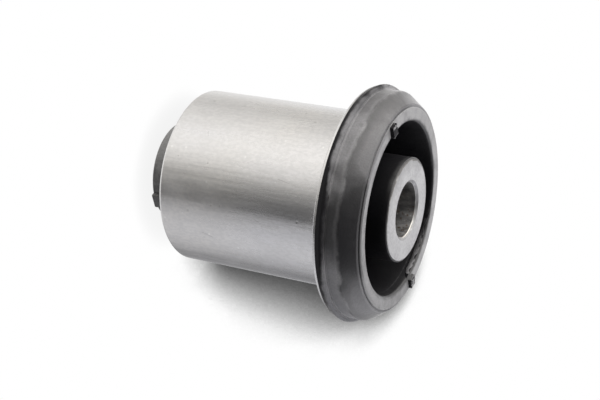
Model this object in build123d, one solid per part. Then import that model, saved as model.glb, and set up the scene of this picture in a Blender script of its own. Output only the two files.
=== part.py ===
from build123d import *

import os

# A bonded suspension bush: a thick inner sleeve and a thin flanged outer sleeve, held apart by
# one moulding of rubber that is vulcanised to both. It stands on its plain end. The axis of
# the bush is Z, and z = 0 is the lower end face of the inner sleeve. All sizes are millimetres.

# Inner sleeve: a thick turned tube that a bolt clamps between two brackets.
INNER_LENGTH = 67.5
INNER_DIAMETER = 26.0
BOLT_BORE = 14.2
BORE_CHAMFER = 0.6
INNER_EDGE_BREAK = 0.15

# Outer sleeve: a drawn tube, pressed into its housing up to the flange at its other end.
BARREL_DIAMETER = 46.0
SLEEVE_WALL = 2.0
BARREL_LENGTH = 47.1  # from the plain end to the flange's back face
END_ROUNDING = 0.9
END_BREAK = 0.4  # bevel on the inner corner of the plain end
FLANGE_WIDTH = 6.8  # the flange stands this far outside the barrel
FLANGE_BEND = 1.6  # inside radius where the tube is rolled out into the flange
FLANGE_EDGE_BREAK = 0.25  # bevel on the flange's rear edge

# Rubber over the flange: a lip round the edge, a band, a conical flank and a flat ring.
LIP_WRAP = 1.15  # how far the lip reaches down the flange's edge
LIP_REAR_COVER = 0.3  # rubber outside the flange's edge at the lip's thin rear end
LIP_COVER = 1.17  # the same at the lip's front corner, before it is rounded
LIP_RISE = 1.05  # top of the lip above the flange's front face
LIP_ROUNDING = 0.8
BAND_INSET = 0.35  # the band is this much smaller in radius than the flange
RIDGE_RISE = 4.3  # ridge between band and flank, above the flange's front face
RIDGE_ROUNDING = 0.8
RING_RISE = 8.6  # the ring's face above the flange's front face
RING_SETBACK = 1.5  # the ring's face below the inner sleeve's upper end
RING_INSET = 3.9  # the ring's edge is this much smaller in radius than the flange
RING_EDGE_HEIGHT = 0.35
RING_EDGE_BREAK = 0.15  # bevel on the ring's edge
RING_LEDGE = 0.65  # step at the foot of the ring's edge
RING_LEDGE_ROUNDING = 0.6
RING_WIDTH = 3.5  # from the ring's edge in to the mouth of the recess
RING_MOUTH_ROUNDING = 0.8

# Rubber between the sleeves: bonded to both, with an annular recess at each end.
SHEATH_THICKNESS = 0.4  # skin that runs on along the inner sleeve
SHEATH_SETBACK = 0.2  # bare inner sleeve at the plain end
SHEATH_TOP_SETBACK = 0.15  # bare inner sleeve at the flanged end
SHEATH_BREAK = 0.2  # bevel at both ends of the sheath
LINING_THICKNESS = 0.7  # skin that runs on along the outer sleeve
LINING_SETBACK = 0.8  # bare outer sleeve inside the plain end
MOUTH_RECESS_DEPTH = 18.0  # below the ring's face
MOUTH_TAPER_DEPTH = 11.0  # the recess's outer wall tapers in to the lining down to here
PLAIN_RECESS_DEPTH = 5.5  # above the barrel's plain end
RECESS_ROUNDING = 3.0
ROUNDING_SHARE = 0.45  # of the gap between the sleeves, at most, for a recess rounding

# Small raised details of the moulding.
PIP_MARGIN = 0.1  # the gate pips on the ring end this far in from its edge's bevel
PIP_WIDTH = 2.2
PIP_HEIGHT = 0.85
PIP_BREAK = 0.25
LUG_HEIGHT = 0.9  # ribs on the sheath at the plain end, outside its surface
LUG_WIDTH = 4.2
LUG_LENGTH = 10.0
LUG_ROUNDING = 0.4

# Radii and heights that follow from the sizes above.
inner_radius = INNER_DIAMETER / 2
bolt_radius = BOLT_BORE / 2
barrel_radius = BARREL_DIAMETER / 2
lining_seat = barrel_radius - SLEEVE_WALL
flange_radius = barrel_radius + FLANGE_WIDTH
ring_face = INNER_LENGTH - RING_SETBACK
ring_foot = ring_face - RING_EDGE_HEIGHT
flange_front = ring_face - RING_RISE
flange_back = flange_front - SLEEVE_WALL
plain_end = flange_back - BARREL_LENGTH
outer_bend = FLANGE_BEND + SLEEVE_WALL
ring_edge = flange_radius - RING_INSET
mouth_radius = ring_edge - RING_WIDTH
sheath_radius = inner_radius + SHEATH_THICKNESS
lining_radius = lining_seat - LINING_THICKNESS
plain_recess_floor = plain_end + PLAIN_RECESS_DEPTH
recess_rounding = min(RECESS_ROUNDING, ROUNDING_SHARE * (lining_radius - sheath_radius))
sheath_top = INNER_LENGTH - SHEATH_TOP_SETBACK
lip_end = flange_front - LIP_WRAP
lip_top = flange_front + LIP_RISE
band_radius = flange_radius - BAND_INSET


def turned(profile):
    """Solid of revolution about Z from (radius, height, corner rounding) rows."""
    points = [(radius, height) for radius, height, rounding in profile]
    roundings = [rounding for radius, height, rounding in profile]
    with BuildPart() as solid:
        with BuildSketch(Plane.XZ):
            with BuildLine():
                FilletPolyline(*points, radius=roundings, close=True)
            make_face()
        revolve(axis=Axis.Z)
    return solid.part


def inner_sleeve():
    """Thick tube with chamfered bore mouths and broken outer corners."""
    with BuildPart() as tube:
        Cylinder(inner_radius, INNER_LENGTH, align=(Align.CENTER, Align.CENTER, Align.MIN))
        Cylinder(
            bolt_radius,
            INNER_LENGTH,
            align=(Align.CENTER, Align.CENTER, Align.MIN),
            mode=Mode.SUBTRACT,
        )
        rims = tube.edges().filter_by(GeomType.CIRCLE)
        chamfer(rims.filter_by(lambda rim: rim.radius < inner_radius - BORE_CHAMFER), BORE_CHAMFER)
        rims = tube.edges().filter_by(GeomType.CIRCLE)
        chamfer(rims.filter_by(lambda rim: rim.radius > inner_radius - 0.01), INNER_EDGE_BREAK)
    return tube.part


def outer_sleeve():
    """Drawn tube of even wall, rolled out at the top into a flange of the same wall."""
    return turned([
        (lining_seat, plain_end + END_BREAK, 0),
        (lining_seat + END_BREAK, plain_end, 0),
        (barrel_radius, plain_end, END_ROUNDING),
        (barrel_radius, flange_back, FLANGE_BEND),
        (flange_radius - FLANGE_EDGE_BREAK, flange_back, 0),
        (flange_radius, flange_back + FLANGE_EDGE_BREAK, 0),
        (flange_radius, flange_front, 0),
        (lining_seat, flange_front, outer_bend),
    ])


def rubber_body():
    """One moulding: flange cover with its ring, web between the sleeves, sheath and lugs."""
    body = turned([
        (inner_radius, SHEATH_SETBACK, 0),
        (sheath_radius - SHEATH_BREAK, SHEATH_SETBACK, 0),
        (sheath_radius, SHEATH_SETBACK + SHEATH_BREAK, 0),
        (sheath_radius, plain_recess_floor, recess_rounding),
        (lining_radius, plain_recess_floor, recess_rounding),
        (lining_radius, plain_end + LINING_SETBACK, 0),
        (lining_seat, plain_end + LINING_SETBACK, 0),
        (lining_seat, flange_front, outer_bend),
        (flange_radius, flange_front, 0),
        (flange_radius, lip_end, 0),
        (flange_radius + LIP_REAR_COVER, lip_end, 0),
        (flange_radius + LIP_COVER, lip_top, LIP_ROUNDING),
        (band_radius, lip_top, 0),
        (band_radius, flange_front + RIDGE_RISE, RIDGE_ROUNDING),
        (ring_edge + RING_LEDGE, ring_foot, RING_LEDGE_ROUNDING),
        (ring_edge, ring_foot, 0),
        (ring_edge, ring_face - RING_EDGE_BREAK, 0),
        (ring_edge - RING_EDGE_BREAK, ring_face, 0),
        (mouth_radius, ring_face, RING_MOUTH_ROUNDING),
        (lining_radius, ring_face - MOUTH_TAPER_DEPTH, 0),
        (lining_radius, ring_face - MOUTH_RECESS_DEPTH, recess_rounding),
        (sheath_radius, ring_face - MOUTH_RECESS_DEPTH, recess_rounding),
        (sheath_radius, sheath_top - SHEATH_BREAK, 0),
        (sheath_radius - SHEATH_BREAK, sheath_top, 0),
        (inner_radius, sheath_top, 0),
    ])
    body = body + gate_pips() + sheath_lugs()
    return body


def gate_pips():
    """Two torn gate pips that stand on the ring's face, opposite each other on X."""
    pip_start = mouth_radius + RING_MOUTH_ROUNDING / 2
    pip_end = ring_edge - RING_EDGE_BREAK - PIP_MARGIN
    root_depth = RING_EDGE_HEIGHT / 2
    with BuildPart() as pips:
        with BuildSketch(Plane.XY.offset(ring_face - root_depth)):
            with PolarLocations((pip_start + pip_end) / 2, 2):
                Rectangle(pip_end - pip_start, PIP_WIDTH)
        extrude(amount=root_depth + PIP_HEIGHT)
        chamfer(pips.edges().group_by(Axis.Z)[-1], PIP_BREAK)
    return pips.part


def sheath_lugs():
    """Two ribs along the sheath at the plain end, opposite each other on Y."""
    root = SHEATH_THICKNESS + LUG_HEIGHT
    with BuildPart() as lugs:
        with BuildSketch(Plane.XY.offset(SHEATH_SETBACK + SHEATH_BREAK)):
            with PolarLocations(inner_radius + root / 2, 2, start_angle=90):
                Rectangle(root, LUG_WIDTH)
            Circle(inner_radius, mode=Mode.SUBTRACT)
        extrude(amount=LUG_LENGTH)
        far_corners = lugs.edges().filter_by(Axis.Z).filter_by(
            lambda corner: abs(corner.center().Y) > sheath_radius
        )
        fillet(far_corners, LUG_ROUNDING)
    return lugs.part


os.makedirs("parts", exist_ok=True)
export_step(inner_sleeve(), "parts/inner_sleeve.step")
export_step(outer_sleeve(), "parts/outer_sleeve.step")
export_step(rubber_body(), "parts/rubber_body.step")
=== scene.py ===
import math

import bmesh
import bpy
from mathutils import Matrix, Vector


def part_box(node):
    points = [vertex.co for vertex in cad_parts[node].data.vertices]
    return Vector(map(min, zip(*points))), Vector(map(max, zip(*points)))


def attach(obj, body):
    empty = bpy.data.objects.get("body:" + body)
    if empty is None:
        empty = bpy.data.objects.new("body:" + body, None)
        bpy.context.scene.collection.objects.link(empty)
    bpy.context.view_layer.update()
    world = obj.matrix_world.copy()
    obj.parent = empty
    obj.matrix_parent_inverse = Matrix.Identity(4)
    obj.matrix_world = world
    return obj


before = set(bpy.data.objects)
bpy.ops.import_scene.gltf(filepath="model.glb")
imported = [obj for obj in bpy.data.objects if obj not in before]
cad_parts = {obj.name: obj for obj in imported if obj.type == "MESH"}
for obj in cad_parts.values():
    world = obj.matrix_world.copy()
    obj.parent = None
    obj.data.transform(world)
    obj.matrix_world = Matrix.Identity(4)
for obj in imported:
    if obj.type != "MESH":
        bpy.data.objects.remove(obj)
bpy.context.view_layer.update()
bpy.ops.object.select_all(action="DESELECT")
MM = 0.001


# Inner sleeve: a thick steel tube with a through bore for the bolt, turned and faced on a lathe.
# The rubber is moulded on to its outside, so that only its faces and its bore stay bare.
INNER_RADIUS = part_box("inner_sleeve")[1].x
BORE_RADIUS = 7.1 * MM
CHAMFER = 0.6 * MM
FEED = 0.32 * MM  # from one turning ring to the next on the faces
FACE_RELIEF = 0.008 * MM
FACE_SHADES = ((0.415, 0.413, 0.415), (0.525, 0.525, 0.525))
CLOUDED_STEEL = (0.44, 0.437, 0.435)
BRIGHT_STEEL = (0.62, 0.62, 0.62)
# painted shade for the outer part of the faces and for their rim
SHADED_FACE_STEEL = (0.25, 0.25, 0.245)
RIM_SHADE_STEEL = (0.17, 0.165, 0.16)
RIM_ROUGHNESS = 0.65
NICK_SHADE = (0.12, 0.11, 0.10)
BORE_SHADES = ((0.22, 0.22, 0.225), (0.48, 0.475, 0.47))
RUST_BROWN = (0.21, 0.15, 0.11)
BARE_SPECK = (0.80, 0.78, 0.75)
CHAMFER_SHADES = ((0.16, 0.16, 0.165), (0.40, 0.40, 0.40))
BURR_SHADE = (0.62, 0.60, 0.55)
CLOUD_RANGE = (0.3, 0.7)  # nearly all levels of a cloud lie between these
CLOUD_MIDDLE = (0.35, 0.65)  # and most of them between these


def new_finish(name):
    """A material with an empty principled shader; returns the material, its tree and the shader."""
    material = bpy.data.materials.new(name)
    material.use_nodes = True
    return material, material.node_tree, material.node_tree.nodes["Principled BSDF"]


def plug(tree, socket, value):
    """Sets an input socket, or links it where the value is another node's output."""
    if isinstance(value, bpy.types.NodeSocket):
        tree.links.new(value, socket)
    else:
        socket.default_value = value


def add_node(tree, kind, settings=(), **inputs):
    """Adds a shader node; its inputs are given by name, with spaces written as underscores."""
    node = tree.nodes.new("ShaderNode" + kind)
    for name, value in dict(settings).items():
        setattr(node, name, value)
    for name, value in inputs.items():
        plug(tree, node.inputs[name.replace("_", " ")], value)
    return node


def calculate(tree, operation, *values):
    """A math node; returns its result."""
    node = add_node(tree, "Math", {"operation": operation})
    for socket, value in zip(node.inputs, values):
        plug(tree, socket, value)
    return node.outputs[0]


def all_of(tree, *shares):
    """The product of several shares."""
    product = shares[0]
    for share in shares[1:]:
        product = calculate(tree, "MULTIPLY", product, share)
    return product


def total(tree, *terms):
    """The sum of several levels, each given with its weight."""
    result = 0.0
    for level, weight in terms:
        result = calculate(tree, "MULTIPLY_ADD", level, weight, result)
    return result


def between(tree, value, low, high, out_low=0.0, out_high=1.0):
    """A soft step from out_low to out_high while the value goes from low to high."""
    node = add_node(
        tree, "MapRange", {"interpolation_type": "SMOOTHSTEP"},
        Value=value, From_Min=low, From_Max=high, To_Min=out_low, To_Max=out_high,
    )
    return node.outputs["Result"]


def blend_levels(tree, share, first, second):
    """Mixes two levels, such as two values of roughness."""
    return add_node(tree, "Mix", Factor=share, A=first, B=second).outputs[0]


def blend_colours(tree, share, first, second, kind="MIX"):
    """Mixes two colours, each given as three numbers or a socket."""
    node = add_node(tree, "Mix", {"data_type": "RGBA", "blend_type": kind}, Factor=share)
    for socket, colour in zip((node.inputs[6], node.inputs[7]), (first, second)):
        if isinstance(colour, tuple):
            colour = (*colour, 1)
        plug(tree, socket, colour)
    return node.outputs[2]


def coats(tree, colour, *layers):
    """A colour with coats over it, each given as its share and its own colour."""
    for share, layer in layers:
        colour = blend_colours(tree, share, colour, layer)
    return colour


def places(tree):
    """Object coordinates: the place itself, the distance from the axis, and x, y and height."""
    place = add_node(tree, "TexCoord").outputs["Object"]
    x, y, height = add_node(tree, "SeparateXYZ", Vector=place).outputs
    square = calculate(tree, "MULTIPLY_ADD", x, x, calculate(tree, "MULTIPLY", y, y))
    return place, calculate(tree, "SQRT", square), x, y, height


def cloud(tree, place, size, detail=2.0, roughness=0.5, stretch=(1, 1, 1)):
    """Noise whose lumps are about `size` across, longer along an axis where stretch is over 1."""
    scaled = add_node(tree, "Mapping", Vector=place, Scale=[1 / length for length in stretch])
    noise = add_node(
        tree, "TexNoise",
        Vector=scaled.outputs[0], Scale=0.5 / size, Detail=detail, Roughness=roughness,
    )
    return noise.outputs["Fac"]


def drops(tree, place, spacing, size, share):
    """Scattered round spots: 1 in the middle of a spot, 0 outside. `share` of all spots is kept."""
    cells = add_node(tree, "TexVoronoi", Vector=place, Scale=1 / spacing)
    chance, size_chance, _ = add_node(tree, "SeparateColor", Color=cells.outputs["Color"]).outputs
    reach = between(tree, size_chance, 0.0, 1.0, 0.4 * size / spacing, size / spacing)
    spot = between(tree, cells.outputs["Distance"], 0.0, reach, 1.0, 0.0)
    return all_of(tree, spot, calculate(tree, "LESS_THAN", chance, share))


def ragged(tree, length, noise, reach):
    """A length that wanders with the noise by up to `reach` either way, for ragged borders."""
    wander = calculate(tree, "MULTIPLY_ADD", noise, 2 * reach, -reach)
    return calculate(tree, "ADD", wander, length)


def relief(tree, shader, level, depth):
    """Raises the surface by `depth` metres for each unit of the level."""
    bump = add_node(tree, "Bump", Height=level, Distance=depth)
    tree.links.new(bump.outputs["Normal"], shader.inputs["Normal"])


def dress(node_name, material):
    """Gives a carried node its material."""
    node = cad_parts[node_name]
    node.data.materials.clear()
    node.data.materials.append(material)


turned_steel, tree, shader = new_finish("turned_steel")
shader.inputs["Metallic"].default_value = 1
place, radius, x, _, _ = places(tree)
unevenness = cloud(tree, place, 2.4 * MM, detail=4, roughness=0.6)
cloudiness = cloud(tree, place, 0.9 * MM, detail=3)
grain = cloud(tree, place, 0.28 * MM, detail=3)

# The faces: fine rings from the lathe, worn unevenly, with small dark nicks. Their outer part and
# rim are painted darker as shade, most towards +X, and the rim is rougher.
path = calculate(tree, "MULTIPLY_ADD", unevenness, 0.35 * FEED, radius)
wave = calculate(tree, "SINE", calculate(tree, "MULTIPLY", path, 2 * math.pi / FEED))
rings = between(tree, wave, -1.0, 1.0)
nicks = drops(tree, place, 1.5 * MM, 0.28 * MM, 0.16)
ragged_edge = ragged(tree, radius, cloudiness, 0.6 * MM)
# painted shade on the outer part of the faces, towards +X
shaded_outer_face = all_of(
    tree,
    between(tree, ragged_edge, INNER_RADIUS - 4 * MM, INNER_RADIUS),
    between(tree, x, 2 * MM, 10 * MM),
    0.4,
)
# painted shade along the rim, most towards +X; the rim is rougher as well
shaded_rim = all_of(
    tree,
    between(tree, ragged_edge, INNER_RADIUS - 0.45 * MM, INNER_RADIUS - 0.05 * MM),
    between(tree, x, 0.0, 8 * MM, 0.25, 1.0),
)
face_colour = coats(
    tree,
    blend_colours(tree, between(tree, unevenness, *CLOUD_MIDDLE), *FACE_SHADES),
    (between(tree, cloudiness, 0.35, 0.7, 0.0, 0.5), CLOUDED_STEEL),
    (between(tree, grain, *CLOUD_MIDDLE, 0.0, 0.55), BRIGHT_STEEL),
    (all_of(tree, rings, 0.15), BRIGHT_STEEL),
    (shaded_outer_face, SHADED_FACE_STEEL),
    (shaded_rim, RIM_SHADE_STEEL),
    (all_of(tree, nicks, 0.8), NICK_SHADE),
)

# The bore: left as drilled, duller, with rust and bare specks towards one side. Its chamfer is
# dull too, with a bright burr left along the inner edge on that side.
in_bore = between(tree, radius, BORE_RADIUS + CHAMFER, BORE_RADIUS + CHAMFER + 0.12 * MM, 1.0, 0.0)
scuffs = cloud(tree, place, 0.8 * MM, detail=4, roughness=0.65, stretch=(1, 1, 2.5))
rusty_side = between(tree, x, 2 * MM, -4 * MM)
rust_specks = drops(tree, place, 0.8 * MM, 0.6 * MM, 0.6)
bare_specks = drops(tree, place, 0.81 * MM, 0.405 * MM, 0.3)
on_chamfer = between(tree, radius, BORE_RADIUS + 0.05 * MM, BORE_RADIUS + 0.1 * MM)
burr = all_of(
    tree,
    between(tree, radius, BORE_RADIUS + 0.1 * MM, BORE_RADIUS + 0.22 * MM, 1.0, 0.0),
    between(tree, radius, BORE_RADIUS + 0.01 * MM, BORE_RADIUS + 0.05 * MM),
    between(tree, x, -5.6 * MM, -6.9 * MM),
)
bore_colour = coats(
    tree,
    blend_colours(tree, between(tree, scuffs, *CLOUD_RANGE), *BORE_SHADES),
    (all_of(tree, rust_specks, rusty_side, 0.9), RUST_BROWN),
    (all_of(tree, bare_specks, rusty_side, 0.8), BARE_SPECK),
    (on_chamfer, blend_colours(tree, cloudiness, *CHAMFER_SHADES)),
    (burr, BURR_SHADE),
)
plug(tree, shader.inputs["Base Color"], blend_colours(tree, in_bore, face_colour, bore_colour))
roughness = blend_levels(
    tree,
    in_bore,
    between(tree, unevenness, *CLOUD_RANGE, 0.38, 0.48),
    between(tree, scuffs, *CLOUD_RANGE, 0.44, 0.62),
)
plug(tree, shader.inputs["Roughness"], blend_levels(tree, shaded_rim, roughness, RIM_ROUGHNESS))
marks = total(
    tree, (rings, 1.0), (grain, 1.0), (cloudiness, 1.8), (scuffs, in_bore), (nicks, -2.0)
)
relief(tree, shader, marks, FACE_RELIEF)
dress("inner_sleeve", turned_steel)


# Outer sleeve: a thin steel tube, drawn, with a rounded plain end and its other end rolled out
# into a flange. Its outside is left satin, with fine marks along the axis from the drawing die.
BARREL_RADIUS = 23 * MM
BARREL_RELIEF = 0.03 * MM
COOL_STEEL = (0.69, 0.69, 0.705)
WARM_STEEL = (0.735, 0.722, 0.70)
DULL_STEEL = (0.655, 0.65, 0.645)
STREAK_SHADE = (0.79, 0.785, 0.775)
GRAIN_SHADE = (0.60, 0.60, 0.60)
PIT_SHADE = (0.38, 0.37, 0.36)
SPECK_SHADE = (0.92, 0.92, 0.91)
SCRATCH_SHADE = (0.30, 0.29, 0.28)

# Marks from handling, each from one place to another on the barrel: degrees about the axis from
# +X, height, and how wide the mark is, in millimetres.
SCRATCHES = (
    ((58.5, 30.6), (62.8, 28.8), 0.2),
    ((44.0, 41.5), (45.5, 44.8), 0.12),
    ((71.0, 36.0), (72.5, 37.4), 0.14),
    ((20.0, 18.5), (24.0, 19.2), 0.12),
    ((88.0, 20.5), (90.5, 23.5), 0.14),
    ((204.0, 30.0), (209.0, 31.5), 0.16),
    ((291.0, 24.0), (289.0, 29.0), 0.12),
    ((150.0, 42.0), (156.0, 43.0), 0.14),
)


def vector_math(tree, operation, *values):
    """A vector math node; returns its vector and its number."""
    node = add_node(tree, "VectorMath", {"operation": operation})
    for socket, value in zip(node.inputs, values):
        plug(tree, socket, value)
    return node.outputs[0], node.outputs[1]


def near_line(tree, place, start, end, width):
    """1 on the straight line from start to end, fading to 0 at half the width from it."""
    along = end - start
    offset, _ = vector_math(tree, "SUBTRACT", place, start)
    _, reach = vector_math(tree, "DOT_PRODUCT", offset, along / along.length_squared)
    share = add_node(tree, "Clamp", Value=reach).outputs[0]
    gap, _ = vector_math(tree, "MULTIPLY_ADD", -along, share, offset)
    _, distance = vector_math(tree, "LENGTH", gap)
    return between(tree, distance, 0.1 * width, 0.5 * width, 1.0, 0.0)


def on_barrel(angle, height):
    """A place on the barrel in metres, from degrees about the axis and a height in millimetres."""
    turn = math.radians(angle)
    return Vector((BARREL_RADIUS * math.cos(turn), BARREL_RADIUS * math.sin(turn), height * MM))


satin_steel, tree, shader = new_finish("satin_steel")
shader.inputs["Metallic"].default_value = 1
place, _, _, _, height = places(tree)
tint = cloud(tree, place, 16 * MM, detail=1)
mottle = cloud(tree, place, 2.6 * MM, detail=4, roughness=0.6, stretch=(1, 1, 1.8))
streaks = cloud(tree, place, 1.0 * MM, detail=4, roughness=0.6, stretch=(1, 1, 14))
grain = cloud(tree, place, 0.35 * MM, detail=3, stretch=(1, 1, 1.6))
smudges = between(tree, cloud(tree, place, 7 * MM, detail=3, roughness=0.6), 0.5, 0.66)
pits = drops(tree, place, 2.8 * MM, 0.6 * MM, 0.35)
specks = drops(tree, place, 2.64 * MM, 0.495 * MM, 0.3)
scratches = 0.0
for start, end, width in SCRATCHES:
    line = near_line(tree, place, on_barrel(*start), on_barrel(*end), width * MM)
    scratches = calculate(tree, "MAXIMUM", scratches, line)

colour = coats(
    tree,
    blend_colours(tree, between(tree, tint, *CLOUD_MIDDLE), COOL_STEEL, WARM_STEEL),
    (between(tree, mottle, *CLOUD_RANGE, 0.0, 0.55), DULL_STEEL),
    (between(tree, streaks, 0.35, 0.7, 0.0, 0.4), STREAK_SHADE),
    (between(tree, grain, *CLOUD_MIDDLE, 0.0, 0.5), GRAIN_SHADE),
    (all_of(tree, pits, 0.5), PIT_SHADE),
    (all_of(tree, specks, 0.7), SPECK_SHADE),
    (all_of(tree, scratches, 0.75), SCRATCH_SHADE),
)
plug(tree, shader.inputs["Base Color"], colour)
roughness = between(tree, streaks, *CLOUD_RANGE, 0.22, 0.3)
polish = between(tree, height, 16 * MM, 50 * MM, 0.02, -0.03)  # more worn towards the flange
roughness = total(tree, (roughness, 1.0), (polish, 1.0), (mottle, 0.05), (smudges, 0.06))
plug(tree, shader.inputs["Roughness"], roughness)
marks = total(
    tree, (streaks, 1.6), (mottle, 0.8), (grain, 0.1), (pits, -0.9), (scratches, -0.6)
)
relief(tree, shader, marks, BARREL_RELIEF)
dress("outer_sleeve", satin_steel)


# Rubber body: one black moulding, bonded to both sleeves in the mould. It covers the flange with
# a lip, a band, a conical flank and a flat ring, and dips into a deep recess inside the ring. It
# has a fine grain and a pale bloom outside, on which shade and light are painted round the axis.
RING_FACE = 66.0 * MM
RING_EDGE = 25.9 * MM
MOUTH_RADIUS = 22.4 * MM
SHEATH_RADIUS = 13.4 * MM
SHEATH_TOP = 67.35 * MM
RIDGE_HEIGHT = 61.7 * MM  # the cone of the flank starts here, above the band
BAND_RADIUS = 29.45 * MM
LIP_TOP = 58.45 * MM
WEB_HEIGHT = 40 * MM  # inside the web that joins the sleeves, below the floor of the recess
PLAIN_END = 8.3 * MM
RUBBER_RELIEF = 0.025 * MM
BARE_RUBBER = (0.0100, 0.0098, 0.0115)
FLANK_BLOOM = (0.125, 0.124, 0.131)
BAND_BLOOM = (0.23, 0.229, 0.240)
# painted highlight for the ridge, and painted light for the groove behind the lip
EDGE_LIGHT = (0.33, 0.329, 0.340)
RING_BLOOM = (0.273, 0.273, 0.280)
# the sheath and mouth colours are partly dust and partly painted light
SHEATH_DUST_AND_LIGHT = (0.20, 0.20, 0.202)
MOUTH_DUST_AND_LIGHT = (0.42, 0.415, 0.43)
DUST_GREY = (0.30, 0.30, 0.30)
LIP_ROUGHNESS = 0.7
RUBBER_GLOSS = 0.5
LIP_GLOSS = 0.12

# Where the bloom is painted as shade and light round the axis, as directions in x and y.
SHADED_SIDE = (0.454, 0.891)  # painted shade: the bloom of the band and lip is darker and lighter round here
SHADED_FLANK_SIDE = (0.358, 0.934)  # painted shade: the same for the flank
LIMB_LIGHT_SIDE = (0.707, -0.707)  # painted light: the band, the lip and the flank are much paler towards here
RING_SHADE_SIDE = (-0.77, 0.64)  # painted shade: the ring's bloom is darker towards here
MOUTH_LIGHT_SIDE = (-1.0, 0.0)  # the flash in the mouth is palest here, partly as painted light


def facing(tree, x, y, radius, side):
    """1 on the side of the axis that `side` points to, -1 on the far side."""
    return calculate(tree, "DIVIDE", total(tree, (y, side[1]), (x, side[0])), radius)


moulded_rubber, tree, shader = new_finish("moulded_rubber")
place, radius, x, y, height = places(tree)
patches = cloud(tree, place, 5 * MM, detail=2)
blotches = cloud(tree, place, 1.7 * MM, detail=4, roughness=0.6)
grain = cloud(tree, place, 0.2 * MM, detail=3, roughness=0.7)
ragged_height = ragged(tree, height, blotches, 0.8 * MM)
ragged_radius = ragged(tree, radius, blotches, 0.8 * MM)
slow_height = ragged(tree, ragged_height, patches, 1.4 * MM)
unevenly = total(tree, (blotches, 0.12), (patches, 0.3))
# how far round towards the side where the bloom carries painted shade
toward_shade = facing(tree, x, y, radius, SHADED_SIDE)
ragged_toward_shade = calculate(tree, "ADD", toward_shade, unevenly)
ragged_flank = calculate(tree, "ADD", facing(tree, x, y, radius, SHADED_FLANK_SIDE), unevenly)
# painted light: the bloom is made up to 2.8 times paler towards this side
limb_light = between(tree, facing(tree, x, y, radius, LIMB_LIGHT_SIDE), 0.94, 0.995, 1.0, 2.8)

# The band and the lip in front of the flange; painted shade round the axis, painted light at the
# limb.
band_dust_and_shading = all_of(
    tree,
    limb_light,
    between(tree, toward_shade, 0.35, 0.75, 0.45, 1.15),
    between(tree, ragged_toward_shade, 1.08, 1.2, 1.0, 0.1),
    between(tree, blotches, *CLOUD_RANGE, 0.7, 1.1),
    between(tree, x, 0.0, -8 * MM, 1.0, 2.3),
)

# The flank: painted darker next to the ridge and paler towards the ring, and shaded round the axis.
flank_dust_and_shading = all_of(
    tree,
    limb_light,
    between(tree, toward_shade, 0.1, 0.75, 0.38, 1.15),
    between(tree, ragged_flank, 1.06, 1.18, 1.0, 0.07),
    between(tree, ragged_radius, BAND_RADIUS - 0.25 * MM, RING_EDGE + 1.1 * MM, 0.42, 1.25),
    between(tree, patches, 0.3, 0.65, 0.6, 1.1),
    between(tree, blotches, *CLOUD_RANGE, 0.6, 1.25),
    between(tree, x, -3 * MM, -14 * MM, 1.0, 1.4),
)
on_flank = between(tree, slow_height, RIDGE_HEIGHT - 0.9 * MM, RIDGE_HEIGHT + 0.5 * MM)

# Painted highlight along the ridge, and painted light lifting the shade in the groove behind the
# lip.
ridge_highlight = all_of(
    tree,
    between(tree, slow_height, RIDGE_HEIGHT - 1.2 * MM, RIDGE_HEIGHT - 0.4 * MM),
    between(tree, slow_height, RIDGE_HEIGHT + 0.5 * MM, RIDGE_HEIGHT - 0.3 * MM),
    between(tree, band_dust_and_shading, 0.0, 1.0, 0.12, 0.4),
)
groove_light = all_of(
    tree,
    between(tree, height, LIP_TOP - 0.2 * MM, LIP_TOP),
    between(tree, height, LIP_TOP + 0.5 * MM, LIP_TOP + 0.2 * MM),
    between(tree, radius, BAND_RADIUS + 0.55 * MM, BAND_RADIUS + 0.15 * MM),
    band_dust_and_shading,
)
cover_colour = coats(
    tree,
    blend_colours(tree, band_dust_and_shading, BARE_RUBBER, BAND_BLOOM),
    (on_flank, blend_colours(tree, flank_dust_and_shading, BARE_RUBBER, FLANK_BLOOM)),
    (calculate(tree, "MAXIMUM", ridge_highlight, groove_light), EDGE_LIGHT),
)

# The bloom starts part of the way up the lip, and lower on the way round to the shaded side.
cover_start = calculate(
    tree,
    "MAXIMUM",
    between(tree, toward_shade, 0.2, 0.6, LIP_TOP - 0.8 * MM, LIP_TOP - 1.5 * MM),
    between(tree, toward_shade, 0.85, 0.98, LIP_TOP - 1.5 * MM, LIP_TOP - 0.6 * MM),
)
on_cover = all_of(
    tree,
    between(tree, radius, MOUTH_RADIUS + 0.6 * MM, MOUTH_RADIUS + 1.2 * MM),
    between(tree, ragged_height, cover_start, calculate(tree, "ADD", cover_start, 0.9 * MM)),
)

# The ring, with painted shade on its bloom: at its shoulder, at the mouth, on one side, towards +Y.
on_ring = all_of(
    tree,
    between(tree, height, RING_FACE - 0.14 * MM, RING_FACE - 0.05 * MM),
    between(tree, radius, MOUTH_RADIUS - 2.4 * MM, MOUTH_RADIUS - 1.4 * MM),
)
shaded_shoulder = all_of(
    tree,
    between(tree, ragged_radius, RING_EDGE - 1.3 * MM, RING_EDGE - 0.6 * MM),
    between(tree, toward_shade, 0.25, 0.75, 0.0, 0.9),
)
# painted shade on the ring's bloom: on its shoulder, on one side, towards +Y and along the mouth
ring_dust_and_shade = all_of(
    tree,
    on_ring,
    calculate(tree, "SUBTRACT", 1.0, shaded_shoulder),
    between(tree, facing(tree, x, y, radius, RING_SHADE_SIDE), 0.2, 0.9, 1.0, 0.62),
    between(tree, y, -5 * MM, 10 * MM, 1.0, 0.86),
    between(tree, blotches, *CLOUD_RANGE, 0.65, 1.15),
    between(tree, ragged_radius, MOUTH_RADIUS + 0.2 * MM, MOUTH_RADIUS + 0.9 * MM, 0.62, 1.0),
)

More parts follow.
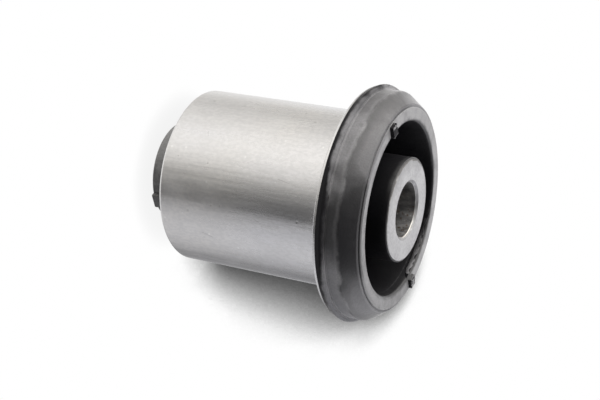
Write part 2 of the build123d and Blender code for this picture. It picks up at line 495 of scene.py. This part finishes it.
# Inside the recess the torn flash and the sheath's top are pale: partly dust, partly painted light.
mouth_dust_and_light = all_of(
    tree,
    between(tree, height, RING_FACE - 2.6 * MM, RING_FACE - 1.6 * MM),
    between(tree, radius, MOUTH_RADIUS - 0.42 * MM, MOUTH_RADIUS - 0.48 * MM),
    between(tree, radius, MOUTH_RADIUS - 4.4 * MM, MOUTH_RADIUS - 3.4 * MM),
    between(tree, facing(tree, x, y, radius, MOUTH_LIGHT_SIDE), 0.75, 1.0, 0.08, 0.85),
    between(tree, blotches, 0.35, 0.6, 0.5, 1.0),
)
sheath_top_light = all_of(
    tree,
    between(tree, ragged_height, SHEATH_TOP - 1.75 * MM, SHEATH_TOP - 0.05 * MM),
    between(tree, radius, SHEATH_RADIUS + 0.6 * MM, SHEATH_RADIUS + 0.2 * MM),
    between(tree, patches, 0.35, 0.6, 0.1, 0.5),
    between(tree, y, 10 * MM, 4 * MM, 0.1, 1.0),
)

# The end of the sheath that stands out of the barrel's plain end is dusty too.
at_plain_end = all_of(
    tree,
    between(tree, height, PLAIN_END, PLAIN_END - MM),
    between(tree, x, 6 * MM, 11 * MM, 0.5, 1.5),
    between(tree, blotches, *CLOUD_MIDDLE, 0.6, 1.4),
)
colour = coats(
    tree,
    BARE_RUBBER,
    (on_cover, cover_colour),
    (ring_dust_and_shade, RING_BLOOM),
    (mouth_dust_and_light, MOUTH_DUST_AND_LIGHT),
    (sheath_top_light, SHEATH_DUST_AND_LIGHT),
    (at_plain_end, SHEATH_DUST_AND_LIGHT),
)
shade = between(tree, grain, 0.25, 0.75, 0.8, 1.1)
colour = blend_colours(tree, 1.0, colour, shade, "MULTIPLY")
dust = drops(tree, place, 1.3 * MM, 0.2 * MM, 0.12)
colour = blend_colours(tree, all_of(tree, dust, 0.35), colour, DUST_GREY)
plug(tree, shader.inputs["Base Color"], colour)

# Half gloss, but dull on the bare lip and in the recess.
on_lip = all_of(
    tree,
    between(tree, radius, BAND_RADIUS - 0.15 * MM, BAND_RADIUS + 0.15 * MM),
    between(tree, height, LIP_TOP + 0.3 * MM, LIP_TOP - 0.1 * MM),
)
in_recess = all_of(
    tree,
    between(tree, radius, MOUTH_RADIUS, MOUTH_RADIUS - 0.3 * MM),
    between(tree, height, WEB_HEIGHT, WEB_HEIGHT + MM),
)
roughness = between(tree, patches, *CLOUD_RANGE, 0.32, 0.42)
roughness = total(tree, (roughness, 1.0), (on_ring, 0.12), (blotches, 0.06))
plug(tree, shader.inputs["Roughness"], blend_levels(tree, on_lip, roughness, LIP_ROUGHNESS))
dull = calculate(tree, "MAXIMUM", on_lip, all_of(tree, in_recess, 0.6))
gloss = between(tree, dull, 0.0, 1.0, RUBBER_GLOSS, LIP_GLOSS)
plug(tree, shader.inputs["Specular IOR Level"], gloss)
outside = between(tree, radius, MOUTH_RADIUS, MOUTH_RADIUS + MM)
plug(tree, shader.inputs["Sheen Weight"], all_of(tree, outside, 0.6))
shader.inputs["Sheen Roughness"].default_value = 0.25
marks = total(tree, (grain, 1.0), (blotches, 4.0), (patches, 8.0))
relief(tree, shader, marks, RUBBER_RELIEF)
dress("rubber_body", moulded_rubber)


# Torn gates: two stubs on the ring where the rubber flowed in, torn off when the part was pulled
# from the mould. The torn rubber is black inside. Each covers the low block that the ring
# carries there.
GATE_START = 22.75 * MM  # from the axis
GATE_END = 25.7 * MM
GATE_WIDTH = 2.35 * MM
GATE_FOOT = RING_FACE - 0.1 * MM
GATE_HEIGHT = 1.05 * MM
GATE_TEAR = 0.12 * MM  # how far the tear moves a point
GATE_SAG = 0.12 * MM  # how much lower the top is at its outer end
GATES = (("torn_gate_east", 1, 3), ("torn_gate_west", -1, 8))  # name, side along X, random seed
TORN_RELIEF = 0.1 * MM


def open_piece(name):
    """Names the primitive just added, applies its place and size, and opens its mesh."""
    piece = bpy.context.active_object
    piece.name = piece.data.name = name
    bpy.ops.object.transform_apply(location=True, rotation=True, scale=True)
    bpy.ops.object.mode_set(mode="EDIT")
    return piece


def pick(piece, wanted):
    """Selects the open mesh's points that pass the test `wanted`, and no others."""
    mesh = bmesh.from_edit_mesh(piece.data)
    for part in mesh.faces[:] + mesh.edges[:] + mesh.verts[:]:
        part.select_set(False)
    for point in mesh.verts:
        point.select_set(bool(wanted(point.co)))
    mesh.select_flush(True)
    bmesh.update_edit_mesh(piece.data)


def close_piece(piece, material, smooth_below):
    """Closes the mesh with its faces outwards, and gives it its material and body."""
    bpy.ops.mesh.select_all(action="SELECT")
    bpy.ops.mesh.remove_doubles(threshold=0.001 * MM)
    bpy.ops.mesh.normals_make_consistent(inside=False)
    bpy.ops.object.mode_set(mode="OBJECT")
    bpy.ops.object.shade_smooth_by_angle(angle=math.radians(smooth_below))
    piece.data.materials.append(material)
    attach(piece, "root")
    piece.select_set(False)


torn_rubber, tree, shader = new_finish("torn_rubber")
place, radius, x, _, height = places(tree)
crumbs = cloud(tree, place, 0.4 * MM, detail=3, roughness=0.6)
west_skin = all_of(
    tree,
    between(tree, x, MM, -MM, 0.0, 0.8),
    between(tree, crumbs, 0.45, 0.55),
    between(tree, height, RING_FACE + 0.6 * MM, RING_FACE + 0.8 * MM),
)
# painted highlight: a paler inner end, for the light on its thin torn edge
edge_highlight = between(tree, radius, GATE_START + 0.25 * MM, GATE_START + 0.1 * MM, 0.0, 0.5)
skin_and_highlight = calculate(tree, "MAXIMUM", west_skin, edge_highlight)
plug(tree, shader.inputs["Base Color"], blend_colours(tree, skin_and_highlight, BARE_RUBBER, RING_BLOOM))
plug(tree, shader.inputs["Roughness"], between(tree, crumbs, *CLOUD_RANGE, 0.6, 0.8))
shader.inputs["Specular IOR Level"].default_value = 0.2
relief(tree, shader, crumbs, TORN_RELIEF)

for name, side, seed in GATES:
    bpy.ops.mesh.primitive_cube_add(
        size=1,
        location=(side * (GATE_START + GATE_END) / 2, 0, GATE_FOOT + GATE_HEIGHT / 2),
        scale=(GATE_END - GATE_START, GATE_WIDTH, GATE_HEIGHT),
    )
    gate = open_piece(name)
    bpy.ops.mesh.select_all(action="SELECT")
    bpy.ops.mesh.subdivide(number_cuts=9)
    pick(gate, lambda point: point.z > RING_FACE + 0.2 * MM)
    bpy.ops.transform.vertex_random(offset=GATE_TEAR, seed=seed)
    pick(gate, lambda point: point.z > RING_FACE + 0.7 * MM and abs(point.x) > GATE_END - 1.1 * MM)
    bpy.ops.transform.translate(value=(0, 0, -GATE_SAG))
    close_piece(gate, torn_rubber, smooth_below=25)


# Mouth flash: a thin web of rubber that squeezed out where two parts of the mould met, and then
# tore. It stands in the mouth of the recess, a little off its wall.
FLASH_INNER = 21.55 * MM
FLASH_OUTER = 21.72 * MM
FLASH_FOOT = 64.1 * MM
FLASH_TOP = RING_FACE - 0.3 * MM
FLASH_START = 172  # degrees about the axis
FLASH_END = 234
FLASH_STEP = 0.14 * MM
FLASH_TEAR = 0.02 * MM

# Degrees about the axis, depth and reach in millimetres.
NOTCHES = (
    (184, 0.35, 0.9),
    (190, 0.25, 0.5),
    (196, 0.5, 1.1),
    (205, 0.3, 0.6),
    (212, 0.45, 0.5),
    (219, 0.4, 1.6),
)


def angle_of(point):
    """Degrees about the axis from +X, from 0 to 360."""
    return math.degrees(math.atan2(point.y, point.x)) % 360


def widen(factor, reach):
    """Moves the picked points away from the axis; points within `reach` of them follow a little."""
    bpy.ops.transform.resize(
        value=(factor, factor, 1),
        center_override=(0, 0, 0),
        use_proportional_edit=True,
        proportional_edit_falloff="SMOOTH",
        proportional_size=reach,
    )


flash_radius = (FLASH_INNER + FLASH_OUTER) / 2
bpy.ops.mesh.primitive_plane_add(size=1, rotation=(math.pi / 2, 0, 0))
bpy.context.active_object.scale = (FLASH_OUTER - FLASH_INNER, FLASH_TOP - FLASH_FOOT, 1)
bpy.context.active_object.location = (flash_radius, 0, (FLASH_FOOT + FLASH_TOP) / 2)
flash = open_piece("mouth_flash")
bpy.ops.mesh.select_all(action="SELECT")
bpy.ops.transform.rotate(
    value=-math.radians(FLASH_START), orient_axis="Z", center_override=(0, 0, 0)
)
sweep = math.radians(FLASH_END - FLASH_START)
bpy.ops.mesh.spin(
    steps=round(sweep * flash_radius / FLASH_STEP), angle=-sweep, center=(0, 0, 0), axis=(0, 0, 1)
)
bpy.ops.mesh.select_all(action="SELECT")
bpy.ops.mesh.subdivide(number_cuts=3)
for angle, depth, reach in NOTCHES:
    pick(
        flash,
        lambda point: point.z > FLASH_TOP - 0.01 * MM and abs(angle_of(point) - angle) < 0.4,
    )
    bpy.ops.transform.translate(
        value=(0, 0, -depth * MM),
        use_proportional_edit=True,
        proportional_edit_falloff="SMOOTH",
        proportional_size=reach * MM,
    )
pick(flash, lambda point: point.z > RING_FACE - 1.6 * MM)
bpy.ops.transform.vertex_random(offset=FLASH_TEAR, seed=5)

# Its foot and both its ends run into the wall.
pick(flash, lambda point: point.z < FLASH_FOOT + 0.1 * MM)
widen(1.025, MM)
pick(flash, lambda point: not FLASH_START + 0.5 < angle_of(point) < FLASH_END - 0.5)
widen(1.05, 5 * MM)
close_piece(flash, moulded_rubber, smooth_below=60)


# Camera: looks down on the flanged end, rolled so that the axis of the bush runs across the
# picture.
VIEW_AZIMUTH = 138.35  # degrees, 0 looks along +Y
VIEW_ELEVATION = 24.84
VIEW_ROLL = 100.16
VIEW_AIM = Vector((-0.00168, 0.0015, 0.03779))  # metres
VIEW_DISTANCE = 0.31415
LENS = 72  # millimetres, as is the width of the sensor
SENSOR_WIDTH = 36

azimuth = math.radians(VIEW_AZIMUTH)
elevation = math.radians(VIEW_ELEVATION)
towards_camera = Vector((
    math.sin(azimuth) * math.cos(elevation),
    -math.cos(azimuth) * math.cos(elevation),
    math.sin(elevation),
))
camera_data = bpy.data.cameras.new("camera")
camera_data.lens = LENS
camera_data.sensor_width = SENSOR_WIDTH
camera_data.clip_start = 0.01
camera_data.clip_end = 10
camera = bpy.data.objects.new("camera", camera_data)
bpy.context.scene.collection.objects.link(camera)
level = (-towards_camera).to_track_quat("-Z", "Y").to_matrix().to_4x4()
roll = Matrix.Rotation(math.radians(VIEW_ROLL), 4, towards_camera)
camera.matrix_world = Matrix.Translation(VIEW_AIM + towards_camera * VIEW_DISTANCE) @ roll @ level
bpy.context.scene.camera = camera
bpy.context.scene.view_settings.view_transform = "Standard"


# Floor and backdrop: both glow plain white, and both darken where the part keeps the sky off
# them. The part stands on the floor. The backdrop leans on the rim of its flange and on the
# plain end of its barrel, and shows its front only. Both stay out of the way of all light.
GROUND_SIZE = 4
FLOOR_DROP = 0.02 * MM
FLOOR_REACH = 30 * MM  # how far off the part still shades the ground
FLOOR_DEPTH = 0.12  # share of the white that full shade takes away
BACKDROP_AZIMUTH = 276  # degrees, the side that it stands on
BACKDROP_FOOT = 21.7 * MM  # from the axis, at the height of the floor
BACKDROP_LEAN = 0.156  # outwards for each unit of height
BACKDROP_REACH = 70 * MM
BACKDROP_DEPTH = 1.0
SHADE_START = 0.56  # open share of the sky below which white begins to darken
SHADE_FALL = 2.4
SHADE_SAMPLES = 16
WHITE = (1, 1, 1, 1)


def mix_shaders(tree, share, first, second):
    """Mixes two shader nodes; returns the node that does it."""
    mixed = add_node(tree, "MixShader", Fac=share)
    tree.links.new(first.outputs[0], mixed.inputs[1])
    tree.links.new(second.outputs[0], mixed.inputs[2])
    return mixed


def white_ground(name, reach, depth, one_sided=False):
    """White that loses up to `depth` of itself where less than a free sky is above it."""
    finish, tree, shader = new_finish(name)
    tree.nodes.remove(shader)
    sky = add_node(tree, "AmbientOcclusion", {"samples": SHADE_SAMPLES}, Distance=reach)
    share = calculate(tree, "DIVIDE", sky.outputs["AO"], SHADE_START)
    share = calculate(tree, "POWER", calculate(tree, "MINIMUM", share, 1.0), SHADE_FALL)
    strength = calculate(tree, "MULTIPLY_ADD", share, depth, 1 - depth)
    ground = add_node(tree, "Emission", Color=WHITE, Strength=strength)
    if one_sided:
        at_back = add_node(tree, "NewGeometry").outputs["Backfacing"]
        ground = mix_shaders(tree, at_back, ground, add_node(tree, "BsdfTransparent"))
    tree.links.new(ground.outputs[0], tree.nodes["Material Output"].inputs["Surface"])
    return finish


def set_stage(name, finish):
    """Names the plane just added, gives it its finish and keeps it out of the way of all light."""
    plane = bpy.context.active_object
    plane.name = name
    plane.data.materials.append(finish)
    plane.visible_diffuse = plane.visible_glossy = plane.visible_shadow = False
    plane.select_set(False)


bpy.ops.mesh.primitive_plane_add(size=GROUND_SIZE, location=(0, 0, -FLOOR_DROP))
set_stage("floor", white_ground("floor_white", FLOOR_REACH, FLOOR_DEPTH))
lean = math.atan(BACKDROP_LEAN)
turn = math.radians(BACKDROP_AZIMUTH)
outwards = Vector((math.sin(turn), -math.cos(turn), 0))
bpy.ops.mesh.primitive_plane_add(
    size=GROUND_SIZE,
    location=outwards * BACKDROP_FOOT,
    rotation=(math.pi / 2 - lean, 0, turn + math.pi),
)
set_stage("backdrop", white_ground("backdrop_white", BACKDROP_REACH, BACKDROP_DEPTH, one_sided=True))


# Light: a soft studio that stays put round the part. A ring of light below the horizon and one
# above it give the level that comes in from each side, in degrees.
LOW_LIGHT = (
    (0, 0.88), (24, 0.68), (48, 0.82), (72, 1.15), (96, 1.27), (120, 1.05), (144, 0.3), (170, 0.1),
    (190, 0.5), (216, 0.8), (240, 0.7), (264, 0.35), (288, 0.15), (312, 0.7), (336, 1.1),
)
HIGH_LIGHT = (
    (0, 1.85), (24, 2.2), (48, 3.4), (72, 3.55), (96, 2.1), (120, 0.15), (144, 0.0),
    (216, 0.0), (240, 1.2), (264, 2.05), (288, 1.45), (312, 0.25), (336, 1.6),
)
BRIGHTEST = 4.0
HORIZON = (-0.05, 0.15)  # the low ring gives way to the high one while the sine goes through these
UNDER_LIGHT = 1.1  # from below, whatever the side
UNDER = (-0.97, -0.75)  # it gives way to the low ring while the sine goes through these
WARM_SIDE = (0.985, -0.17, 0)  # the light has a slight cast, warm on this side and cool opposite
WARM_LIGHT = (1.025, 1.0, 0.965)
COOL_LIGHT = (1.005, 1.0, 1.035)
STRAIGHT_BACK = (0.7, 0.95)  # reflections show the white ground from these cosines on
OUT_OF_SHADE = (-0.3, 0.0)  # and from these on upwards, as the part's own shade lies below


def ring_of_light(tree, share_of_turn, levels):
    """The level of light on each side; the ramp starts and ends at the dark side."""
    ramp = add_node(tree, "ValToRGB", Fac=share_of_turn)
    stops = sorted((((side + 180) % 360) / 360, level / BRIGHTEST) for side, level in levels)
    elements = ramp.color_ramp.elements
    elements[0].position = stops[0][0]
    elements[1].position = stops[-1][0]
    for position, _ in stops[1:-1]:
        elements.new(position)
    for element, (_, level) in zip(elements, stops):
        element.color = (level, level, level, 1)
    ramp.color_ramp.interpolation = "B_SPLINE"
    return ramp.outputs["Color"]


def cosine_to(tree, direction, side):
    """The cosine of the angle between a direction and a side."""
    _, cosine = vector_math(tree, "DOT_PRODUCT", direction, side)
    return cosine


world = bpy.data.worlds.new("studio")
bpy.context.scene.world = world
world.use_nodes = True
tree = world.node_tree
direction = add_node(tree, "TexCoord").outputs["Generated"]
x, y, height = add_node(tree, "SeparateXYZ", Vector=direction).outputs
azimuth = calculate(tree, "ARCTAN2", x, calculate(tree, "MULTIPLY", y, -1.0))
share_of_turn = calculate(tree, "MULTIPLY_ADD", azimuth, 0.5 / math.pi, 0.5)
around = coats(
    tree,
    (UNDER_LIGHT / BRIGHTEST,) * 3,
    (between(tree, height, *UNDER), ring_of_light(tree, share_of_turn, LOW_LIGHT)),
    (between(tree, height, *HORIZON), ring_of_light(tree, share_of_turn, HIGH_LIGHT)),
)
warmth = between(tree, cosine_to(tree, direction, WARM_SIDE), -0.5, 0.5)
cast = blend_colours(tree, warmth, COOL_LIGHT, WARM_LIGHT)
room = tree.nodes["Background"]
plug(tree, room.inputs["Color"], blend_colours(tree, 1.0, around, cast, "MULTIPLY"))
room.inputs["Strength"].default_value = BRIGHTEST

# The camera sees plain white in place of the room, and so do reflections of what lies behind the
# part.
white = add_node(tree, "Background", Color=WHITE, Strength=1.0)
behind = all_of(
    tree,
    between(tree, cosine_to(tree, direction, -towards_camera), *STRAIGHT_BACK),
    between(tree, cosine_to(tree, direction, camera.matrix_world.col[1].xyz), *OUT_OF_SHADE),
)
rays = add_node(tree, "LightPath").outputs
mirrored = calculate(tree, "MAXIMUM", rays["Is Glossy Ray"], rays["Is Transmission Ray"])
white_share = calculate(tree, "MAXIMUM", rays["Is Camera Ray"], all_of(tree, mirrored, behind))
seen = mix_shaders(tree, white_share, room, white)
tree.links.new(seen.outputs[0], tree.nodes["World Output"].inputs["Surface"])
